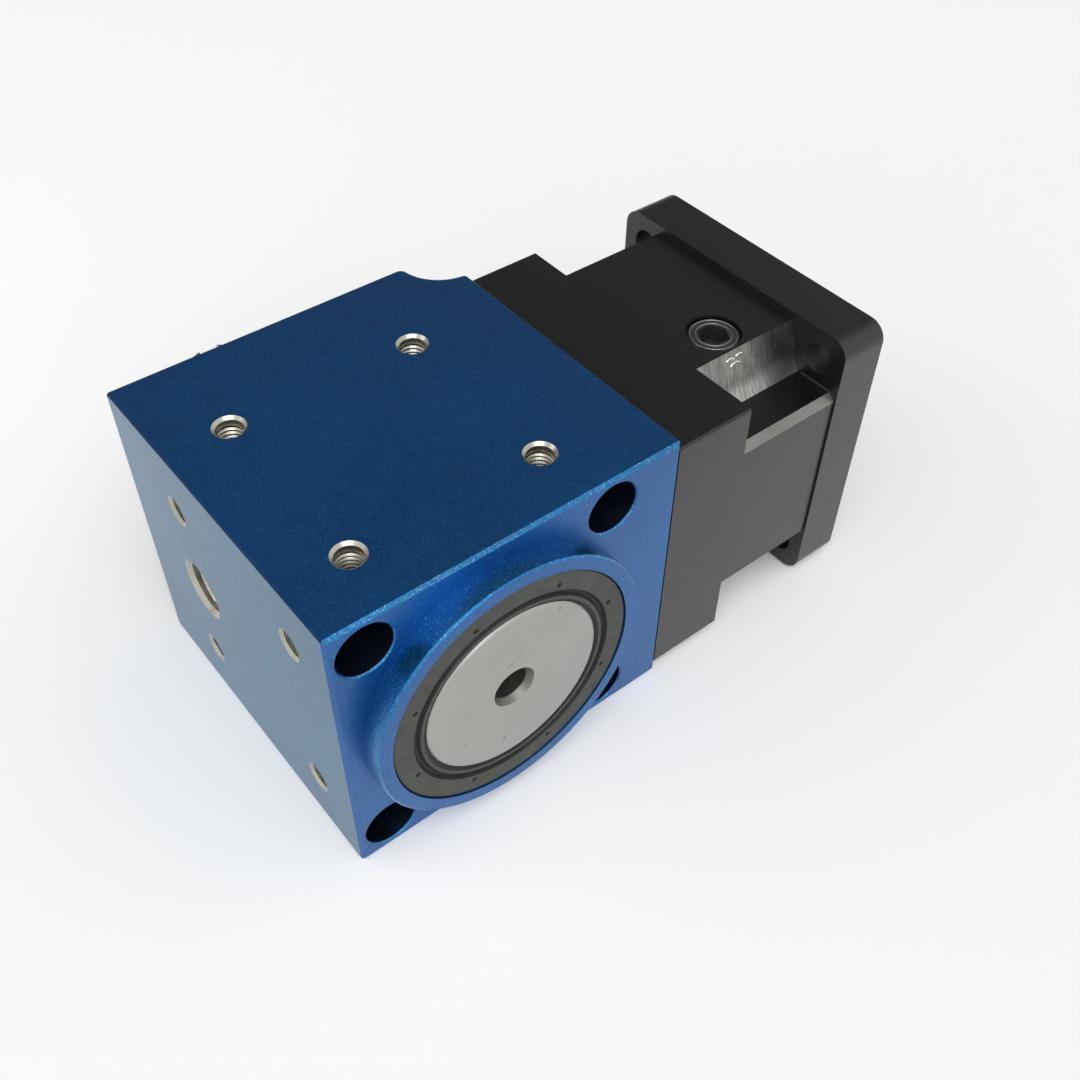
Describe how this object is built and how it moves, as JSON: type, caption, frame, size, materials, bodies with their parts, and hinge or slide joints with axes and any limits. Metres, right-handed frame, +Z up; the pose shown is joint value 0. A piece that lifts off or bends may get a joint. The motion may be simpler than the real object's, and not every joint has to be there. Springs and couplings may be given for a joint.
{
  "type": "right-angle bevel gear reducer",
  "caption": "Right-angle servo gear reducer: blue anodised bevel gearbox with a recessed front shaft face, a keyed rear shaft and a black clamp-hub motor adapter.",
  "frame": {"origin": "on the output axis, in the plane of the front mounting face, at the base of the front pilot ring", "axes": "+X along the input axis towards the motor, +Y along the output axis towards the output shaft end, +Z up"},
  "size_m": [0.179, 0.155, 0.09],
  "materials": {
    "anodised_blue": "satin",
    "anodised_black": "satin",
    "ground_steel": "satin",
    "gear_steel": "satin",
    "bearing_steel": "gloss",
    "phosphated_steel": "satin",
    "black_screw_steel": "satin",
    "seal_rubber": "matte",
    "cage_polymer": "matte"
  },
  "bodies": {
    "housing": {"gear_housing": "anodised_blue", "oil_plug": "black_screw_steel", "front_seal": "seal_rubber", "rear_seal": "seal_rubber", "input_seal": "seal_rubber", "front_circlip": "phosphated_steel", "outer_spacer": "ground_steel", "motor_adapter": "anodised_black", "access_plug": "black_screw_steel", "adapter_screws": "black_screw_steel", "dowel_pins": "bearing_steel", "interface_o_ring": "seal_rubber", "front_bearing_outer_ring": "bearing_steel", "rear_bearing_outer_ring": "bearing_steel", "pinion_bearing_a_outer_ring": "bearing_steel", "pinion_bearing_b_outer_ring": "bearing_steel"},
    "output": {"output_shaft": "ground_steel", "output_gear": "gear_steel", "output_gear_key": "ground_steel", "spacer_sleeve": "ground_steel", "output_nut": "phosphated_steel", "front_bearing_inner_ring": "bearing_steel", "rear_bearing_inner_ring": "bearing_steel"},
    "input": {"pinion_shaft": "gear_steel", "clamp_ring": "ground_steel", "clamp_screw": "black_screw_steel", "motor_bush": "ground_steel", "input_nut": "phosphated_steel", "inner_spacer": "ground_steel", "pinion_bearing_a_inner_ring": "bearing_steel", "pinion_bearing_b_inner_ring": "bearing_steel"},
    "front_bearing_cage_set": {"front_bearing_balls": "bearing_steel", "front_bearing_cage": "cage_polymer"},
    "rear_bearing_cage_set": {"rear_bearing_balls": "bearing_steel", "rear_bearing_cage": "cage_polymer"},
    "pinion_bearing_a_cage_set": {"pinion_bearing_a_balls": "bearing_steel", "pinion_bearing_a_cage": "cage_polymer"},
    "pinion_bearing_b_cage_set": {"pinion_bearing_b_balls": "bearing_steel", "pinion_bearing_b_cage": "cage_polymer"}
  },
  "joints": [
    {"name": "output_spin", "type": "hinge", "parent": "housing", "child": "output", "pos_m": [0, 0, 0], "axis": [0, 1, 0], "continuous": true},
    {"name": "input_spin", "type": "hinge", "parent": "housing", "child": "input", "pos_m": [0, 0.045, 0], "axis": [1, 0, 0], "continuous": true},
    {"name": "front_cage_spin", "type": "hinge", "parent": "housing", "child": "front_bearing_cage_set", "pos_m": [0, 0.01, 0], "axis": [0, 1, 0], "continuous": true},
    {"name": "rear_cage_spin", "type": "hinge", "parent": "housing", "child": "rear_bearing_cage_set", "pos_m": [0, 0.084, 0], "axis": [0, 1, 0], "continuous": true},
    {"name": "pinion_cage_a_spin", "type": "hinge", "parent": "housing", "child": "pinion_bearing_a_cage_set", "pos_m": [0.0395, 0.045, 0], "axis": [1, 0, 0], "continuous": true},
    {"name": "pinion_cage_b_spin", "type": "hinge", "parent": "housing", "child": "pinion_bearing_b_cage_set", "pos_m": [0.0525, 0.045, 0], "axis": [1, 0, 0], "continuous": true}
  ],
  "couplings": [
    {"joint": "input_spin", "follows": "output_spin", "ratio": 2},
    {"joint": "front_cage_spin", "follows": "output_spin", "ratio": 0.448},
    {"joint": "rear_cage_spin", "follows": "output_spin", "ratio": 0.396},
    {"joint": "pinion_cage_a_spin", "follows": "output_spin", "ratio": 0.858},
    {"joint": "pinion_cage_b_spin", "follows": "output_spin", "ratio": 0.858}
  ]
}
